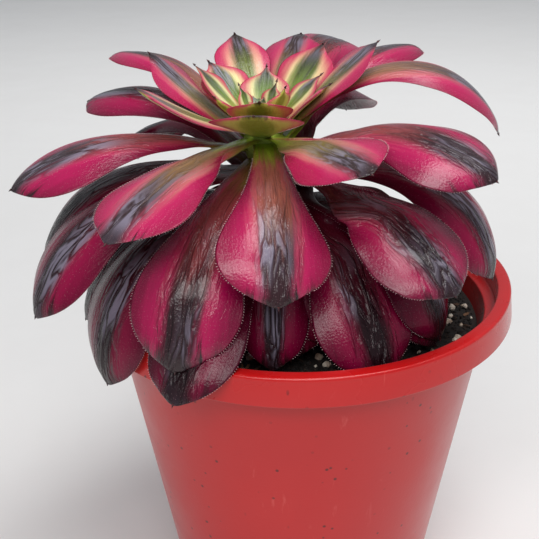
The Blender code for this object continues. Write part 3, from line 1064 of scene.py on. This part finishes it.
def plastic_material(settings):
    """Moulded red plastic: a soft sheen, dusty haze, scuffs, drips and small dark specks."""
    s = Shader("pot_plastic")
    place = s.place()
    height = s.parts(place)[2]
    haze = s.noise(place, 28, 4, 0.6)
    scuffs = s.noise(s.stretched(place, (260, 260, 40)), 1.0, 4, 0.7, 0.5)
    rings = s.noise(s.stretched(place, (10, 10, 1900)), 1.0, 2)
    skin = s.mix(s.step(haze, 0.35, 0.75, 0.0, 0.14), settings.plastic, paint(0.84, 0.24, 0.22))
    skin = s.mix(s.step(scuffs, 0.62, 0.80, 0.0, 0.30), skin, paint(0.90, 0.50, 0.47))
    deep = s.step(s.noise(place, 9, 2), 0.35, 0.7, 0.0, 0.30)
    skin = s.mix(deep, skin, paint(0.66, 0.11, 0.14))
    specks = s.cells(place, 210)
    chosen = s.step(s.noise(place, 48, 2), 0.46, 0.56)
    specks = s.times(s.step(specks, 0.08, 0.14, 0.95, 0.0), chosen)
    drips = s.cells(s.stretched(place, (230, 230, 110)), 1.0)
    drips = s.times(s.step(drips, 0.06, 0.13, 0.8, 0.0), s.step(haze, 0.50, 0.60))
    skin = s.mix(s.sum("MAXIMUM", specks, drips), skin, paint(0.36, 0.05, 0.05))
    body = s.step(height, POT_HIGH.z - 0.02, POT_HIGH.z - 0.008)
    gloss = s.step(haze, 0.3, 0.7, 0.31, 0.45)
    gloss = s.sum("MULTIPLY_ADD", body, -0.08, gloss)
    grain = s.noise(place, 900, 3, 0.6)
    normal = s.bump(s.sum("ADD", s.times(rings, 0.5), grain), 0.00005, 0.5)
    return s.set(
        Base_Color=skin,
        Roughness=gloss,
        Normal=normal,
        IOR=1.49,
        Specular_IOR_Level=0.36,
        Coat_Weight=0.20,
        Coat_Roughness=0.14,
        Sheen_Weight=0.05,
        Sheen_Roughness=0.35,
    )


def cut_slot(pot, angle, settings):
    """Cuts one drain slot, with rounded ends, through the pot's floor."""
    deselect_all()
    length, width = settings.slot_length, settings.slot_width
    place = Vector((math.cos(angle), math.sin(angle), 0)) * settings.slot_circle
    place.z = settings.floor / 2
    bpy.ops.mesh.primitive_cube_add(size=1.0, location=place, rotation=(0, 0, angle))
    cutter = bpy.context.active_object
    cutter.scale = (length, width, settings.floor * 3)
    place_in_mesh(cutter)
    bpy.ops.object.mode_set(mode="EDIT")
    bpy.ops.mesh.select_all(action="DESELECT")
    bpy.ops.mesh.select_mode(type="EDGE")
    bpy.ops.object.mode_set(mode="OBJECT")
    for edge in cutter.data.edges:
        ends = [cutter.data.vertices[i].co for i in edge.vertices]
        edge.select = abs(ends[0].z - ends[1].z) > settings.floor
    bpy.ops.object.mode_set(mode="EDIT")
    bpy.ops.mesh.bevel(offset=width * 0.45, segments=4)
    bpy.ops.object.mode_set(mode="OBJECT")
    cut = pot.modifiers.new("slot", "BOOLEAN")
    cut.operation = "DIFFERENCE"
    cut.solver = "EXACT"
    cut.object = cutter
    apply_modifiers(pot)
    bpy.data.objects.remove(cutter)


class AEONIUM_OT_pot(bpy.types.Operator):
    """Turn the pot with its band, rim and inner step"""

    bl_idname = "aeonium.pot"
    bl_label = "Pot"

    def execute(self, context):
        p = context.scene.aeonium_pot
        top = POT_HIGH.z
        rim = POT_HIGH.x - p.skirt_flare
        inner = rim - p.rim_width
        ledge = top - p.ledge

        def body(height):
            return p.body_radius - p.taper * (top - p.skirt_drop - height)

        profile = [
            (CENTRE, 0.0006),
            (body(0) - 0.0080, 0.0006),
            (body(0) - 0.0070, 0.0),
            (body(0), 0.0, 0.0010),
            (body(top * 0.3), top * 0.3),
            (body(top * 0.6), top * 0.6),
            (body(ledge - p.wall), ledge - p.wall, 0.0006),
            (inner + 0.0003, ledge - 0.0004, 0.0004),
            (inner + 0.0005, top - p.wall, 0.0003),
            (rim - p.skirt_wall, top - p.wall, 0.0003),
            (rim + p.skirt_flare - p.skirt_wall, top - p.skirt_drop, 0.0003),
            (rim + p.skirt_flare, top - p.skirt_drop, 0.0005),
            (rim + 0.0001, top - 0.0021, 0.0005),
            (rim, top, 0.0009),
            (inner - p.wall, top, 0.0008),
            (inner - p.wall, ledge, 0.0007),
            (body(ledge) - p.wall, ledge - 0.0006, 0.0005),
            (body(p.floor) - p.wall, p.floor, 0.0008),
            (CENTRE, p.floor),
        ]
        pot = turned("pot_shell", rounded(profile), p.sides)
        for k in range(p.slots):
            cut_slot(pot, 2 * math.pi * (k + 0.5) / p.slots, p)
        shade(pot, 40)
        finish_piece(pot, [plastic_material(p)], ["pot"])
        return {"FINISHED"}


# -------------------- potting mix

# The mix rises by this height from the wall to its middle, which is level out to this radius
MOUND_HEIGHT = 0.003
MOUND_TOP = 0.02
# Nothing loose lies nearer to the middle than this, where the stem stands
STEM_CLEAR = 0.009


def earth_material(settings):
    """Near-black peaty mix with brown flecks."""
    s = Shader("potting_earth")
    place = s.place()
    lumps = s.noise(place, 420, 4, 0.65)
    flecks = s.cells(place, 900)
    skin = s.mix(s.step(lumps, 0.35, 0.7), paint(0.07, 0.05, 0.045), settings.earth)
    skin = s.mix(s.step(flecks, 0.12, 0.22, 0.7, 0.0), skin, paint(0.33, 0.22, 0.15))
    return s.set(
        Base_Color=skin,
        Roughness=s.step(lumps, 0.3, 0.7, 0.7, 0.95),
        Normal=s.bump(lumps, 0.0006, 0.8),
    )


def chip_material():
    """Brown bark chips and fibres."""
    s = Shader("bark_chip")
    place = s.place()
    grain = s.noise(s.stretched(place, (500, 500, 1500)), 1.0, 3, 0.6)
    patch = s.noise(place, 160, 1)
    skin = s.mix(s.step(patch, 0.35, 0.65), paint(0.20, 0.13, 0.09), paint(0.46, 0.32, 0.22))
    skin = s.mix(s.step(grain, 0.5, 0.7, 0.0, 0.5), skin, paint(0.12, 0.08, 0.06))
    return s.set(Base_Color=skin, Roughness=0.8, Normal=s.bump(grain, 0.0003, 0.7))


def grain_material(settings):
    """Pale porous grains, a little stained."""
    s = Shader("pale_grain")
    place = s.place()
    patch = s.noise(place, 210, 2)
    pores = s.cells(place, 2600)
    skin = s.mix(s.step(patch, 0.35, 0.7), settings.pale, paint(0.66, 0.55, 0.46))
    skin = s.mix(s.step(pores, 0.10, 0.24, 0.6, 0.0), skin, paint(0.36, 0.29, 0.25))
    return s.set(Base_Color=skin, Roughness=0.85, Normal=s.bump(pores, 0.0003, 0.8))


def lump_shapes(number, divisions, scale, first_seed):
    """Irregular lumps of unit size, each modelled once and copied."""
    shapes = []
    for k in range(number):
        deselect_all()
        bpy.ops.mesh.primitive_ico_sphere_add(subdivisions=divisions, radius=1.0)
        lump = bpy.context.active_object
        away = Vector((first_seed + k, (first_seed + k) * 2, 0))
        for vertex in lump.data.vertices:
            push = 1 + 0.45 * noise.noise(vertex.co * 1.3 + away)
            vertex.co = Vector(a * b for a, b in zip(vertex.co * push, scale))
        shapes.append(as_shape(lump))
    return shapes


def mix_top(radius, rim_radius):
    """Height of the mix at a radius, as its solid has it: a low mound."""
    mound = min(1.0, max(0.0, (rim_radius - radius) / (rim_radius - MOUND_TOP)))
    return MIX_HIGH.z - MOUND_HEIGHT + MOUND_HEIGHT * mound


def scattered(dice, number, sizes, rim_radius, kinds, sink, flat=1.0):
    """Places on the mix for copies of a shape, thinly spread from the stem to the wall."""
    places = []
    while len(places) < number:
        radius = rim_radius * math.sqrt(dice.random())
        angle = dice.uniform(0, 2 * math.pi)
        size = dice.uniform(*sizes)
        if radius < STEM_CLEAR or radius > rim_radius - size * 0.9:
            continue
        height = mix_top(radius, rim_radius) + size * sink
        point = (radius * math.cos(angle), radius * math.sin(angle), height)
        turn = Vector([dice.uniform(-1, 1) for _ in range(3)]).to_track_quat("Z", "Y")
        matrix = (
            Matrix.Translation(point)
            @ Matrix.Diagonal((1, 1, flat, 1))
            @ turn.to_matrix().to_4x4()
            @ Matrix.Diagonal((size, size, size, 1))
        )
        places.append((dice.randrange(kinds), matrix))
    return places


class AEONIUM_OT_mix(bpy.types.Operator):
    """Fill the pot with lumpy potting mix"""

    bl_idname = "aeonium.mix"
    bl_label = "Potting mix"

    def execute(self, context):
        p = context.scene.aeonium_mix
        rim = MIX_HIGH.x
        profile = [
            (CENTRE, MIX_LOW.z),
            (rim - 0.018, MIX_LOW.z),
            (rim - 0.0002, MIX_HIGH.z - 0.0045),
        ]
        steps = 22
        for k in range(steps):
            radius = rim - 0.0008 - (rim - 0.0018) * k / (steps - 1)
            profile.append((radius, mix_top(radius, rim)))
        mix = turned("mix_bed", profile, p.sides)
        group = mix.vertex_groups.new(name="top")
        top = [
            v.index
            for v in mix.data.vertices
            if v.co.z > MIX_HIGH.z - 0.004 and v.co.xy.length < rim - 0.001
        ]
        group.add(top, 1.0, "REPLACE")
        roughen(mix, "mix_lumps", 0.006, p.roughness, "top")
        roughen(mix, "mix_crumbs", 0.0018, p.roughness * 0.9, "top")
        apply_modifiers(mix)
        shade(mix)
        finish_piece(mix, [earth_material(p)], ["potting_mix"])
        return {"FINISHED"}


class AEONIUM_OT_crumbs(bpy.types.Operator):
    """Scatter crumbs, bark chips and pale grains over the mix"""

    bl_idname = "aeonium.crumbs"
    bl_label = "Crumbs and grains"

    def execute(self, context):
        p = context.scene.aeonium_mix
        dice = random.Random(p.seed)
        rim = MIX_HIGH.x - 0.0012
        lumps = lump_shapes(4, 1, (1, 0.85, 0.7), 1.5)
        places = scattered(dice, p.crumbs, (p.crumb * 0.25, p.crumb), rim, len(lumps), 0.25)
        crumbs = copies("mix_crumbs", lumps, places)
        finish_piece(crumbs, [bpy.data.materials["potting_earth"]])
        slivers = lump_shapes(3, 1, (1, 0.4, 0.2), 3.5)
        places = scattered(dice, p.chips, (0.0009, 0.0026), rim, len(slivers), 0.35, 0.5)
        chips = copies("bark_chips", slivers, places)
        finish_piece(chips, [chip_material()])
        stones = lump_shapes(4, 2, (1, 0.9, 0.8), 7.5)
        places = scattered(dice, p.grains, (p.grain * 0.3, p.grain), rim, len(stones), 0.45)
        grains = copies("pale_grains", stones, places)
        shade(grains, 60)
        finish_piece(grains, [grain_material(p)])
        return {"FINISHED"}


# -------------------- stage

CAMERA_PLACE = (0.0065, -0.3085, 0.2662)
CAMERA_DOWN, CAMERA_LEFT, CAMERA_ROLL = 24.34, 3.12, 1.03
CAMERA_LENS, CAMERA_SENSOR = 66.79, 36.0


def floor_material(settings):
    """Plain pale floor with a faint mottle."""
    s = Shader("stage_floor")
    place = s.place()
    mottle = s.noise(place, 9, 4, 0.6)
    skin = s.mix(s.step(mottle, 0.3, 0.7, 0.0, 0.16), settings.floor, paint(0.82, 0.81, 0.80))
    return s.set(Base_Color=skin, Roughness=s.step(mottle, 0.3, 0.7, 0.6, 0.75))


def soft_light(name, place, target, size, power, tint=(1.0, 1.0, 1.0)):
    lamp = bpy.data.lights.new(name, "AREA")
    lamp.shape = "RECTANGLE"
    lamp.size, lamp.size_y = size
    lamp.energy = power
    lamp.color = tint
    light = bpy.data.objects.new(name, lamp)
    light.location = place
    light.rotation_euler = (Vector(target) - Vector(place)).to_track_quat("-Z", "Y").to_euler()
    bpy.context.scene.collection.objects.link(light)
    return light


class AEONIUM_OT_stage(bpy.types.Operator):
    """Set the floor, the soft lights and the camera"""

    bl_idname = "aeonium.stage"
    bl_label = "Stage"

    def execute(self, context):
        p = context.scene.aeonium_stage
        deselect_all()
        bpy.ops.mesh.primitive_plane_add(size=p.floor_size, location=(0, 0, 0))
        floor = bpy.context.active_object
        floor.name = "stage_floor"
        floor.data.materials.append(floor_material(p))

        world = bpy.data.worlds.new("soft_air")
        world.use_nodes = True
        air = world.node_tree.nodes["Background"]
        air.inputs["Color"].default_value = (*paint(0.95, 0.97, 1.0), 1.0)
        air.inputs["Strength"].default_value = p.air
        context.scene.world = world

        middle = (0, 0, 0.14)
        soft_light("key", (-0.05, -0.66, 0.68), middle, (0.62, 0.22), p.key, (1.0, 0.985, 0.97))
        soft_light("backdrop_light", (0.1, 0.55, 0.8), (0.1, 1.9, 0), (1.6, 0.5), p.back)
        soft_light("overhead", (0.22, -0.16, 0.98), middle, (0.85, 0.36), p.fill)

        camera = bpy.data.objects.new("camera", bpy.data.cameras.new("camera"))
        camera.data.lens = CAMERA_LENS
        camera.data.sensor_width = CAMERA_SENSOR
        camera.data.clip_start, camera.data.clip_end = 0.01, 50
        turn = (
            Matrix.Rotation(math.radians(CAMERA_LEFT), 4, "Z")
            @ Matrix.Rotation(math.radians(-CAMERA_DOWN), 4, "X")
            @ Matrix.Rotation(math.radians(CAMERA_ROLL), 4, "Y")
            @ Matrix.Rotation(math.radians(90), 4, "X")
        )
        camera.matrix_world = Matrix.Translation(CAMERA_PLACE) @ turn
        context.scene.collection.objects.link(camera)
        context.scene.camera = camera
        context.scene.view_settings.view_transform = "Standard"
        return {"FINISHED"}


# -------------------- panel and registration

SETTINGS = {
    "aeonium_leaves": AeoniumLeafSettings,
    "aeonium_pot": AeoniumPotSettings,
    "aeonium_mix": AeoniumMixSettings,
    "aeonium_stage": AeoniumStageSettings,
}
OPERATORS = (
    AEONIUM_OT_pot,
    AEONIUM_OT_mix,
    AEONIUM_OT_crumbs,
    AEONIUM_OT_stem,
    AEONIUM_OT_leaves,
    AEONIUM_OT_heart,
    AEONIUM_OT_fringe,
    AEONIUM_OT_stage,
)


class AEONIUM_PT_panel(bpy.types.Panel):
    """Lists the pieces of the aeonium, with their settings"""

    bl_idname = "AEONIUM_PT_panel"
    bl_label = "Potted Aeonium"
    bl_space_type = "VIEW_3D"
    bl_region_type = "UI"
    bl_category = "Aeonium"

    def draw(self, context):
        for operator in OPERATORS:
            self.layout.operator(operator.bl_idname)
        for name, group in SETTINGS.items():
            box = self.layout.box()
            for prop in group.__annotations__:
                box.prop(getattr(context.scene, name), prop)


def register():
    for name, group in SETTINGS.items():
        bpy.utils.register_class(group)
        setattr(bpy.types.Scene, name, bpy.props.PointerProperty(type=group))
    for operator in OPERATORS:
        bpy.utils.register_class(operator)
    bpy.utils.register_class(AEONIUM_PT_panel)


def unregister():
    bpy.utils.unregister_class(AEONIUM_PT_panel)
    for operator in reversed(OPERATORS):
        bpy.utils.unregister_class(operator)
    for name, group in SETTINGS.items():
        delattr(bpy.types.Scene, name)
        bpy.utils.unregister_class(group)


def main():
    for given in [o for o in bpy.data.objects if o.name in ("Cube", "Light", "Camera")]:
        bpy.data.objects.remove(given)
    register()
    for operator in OPERATORS:
        group, name = operator.bl_idname.split(".")
        getattr(getattr(bpy.ops, group), name)()


if __name__ == "__main__":
    main()
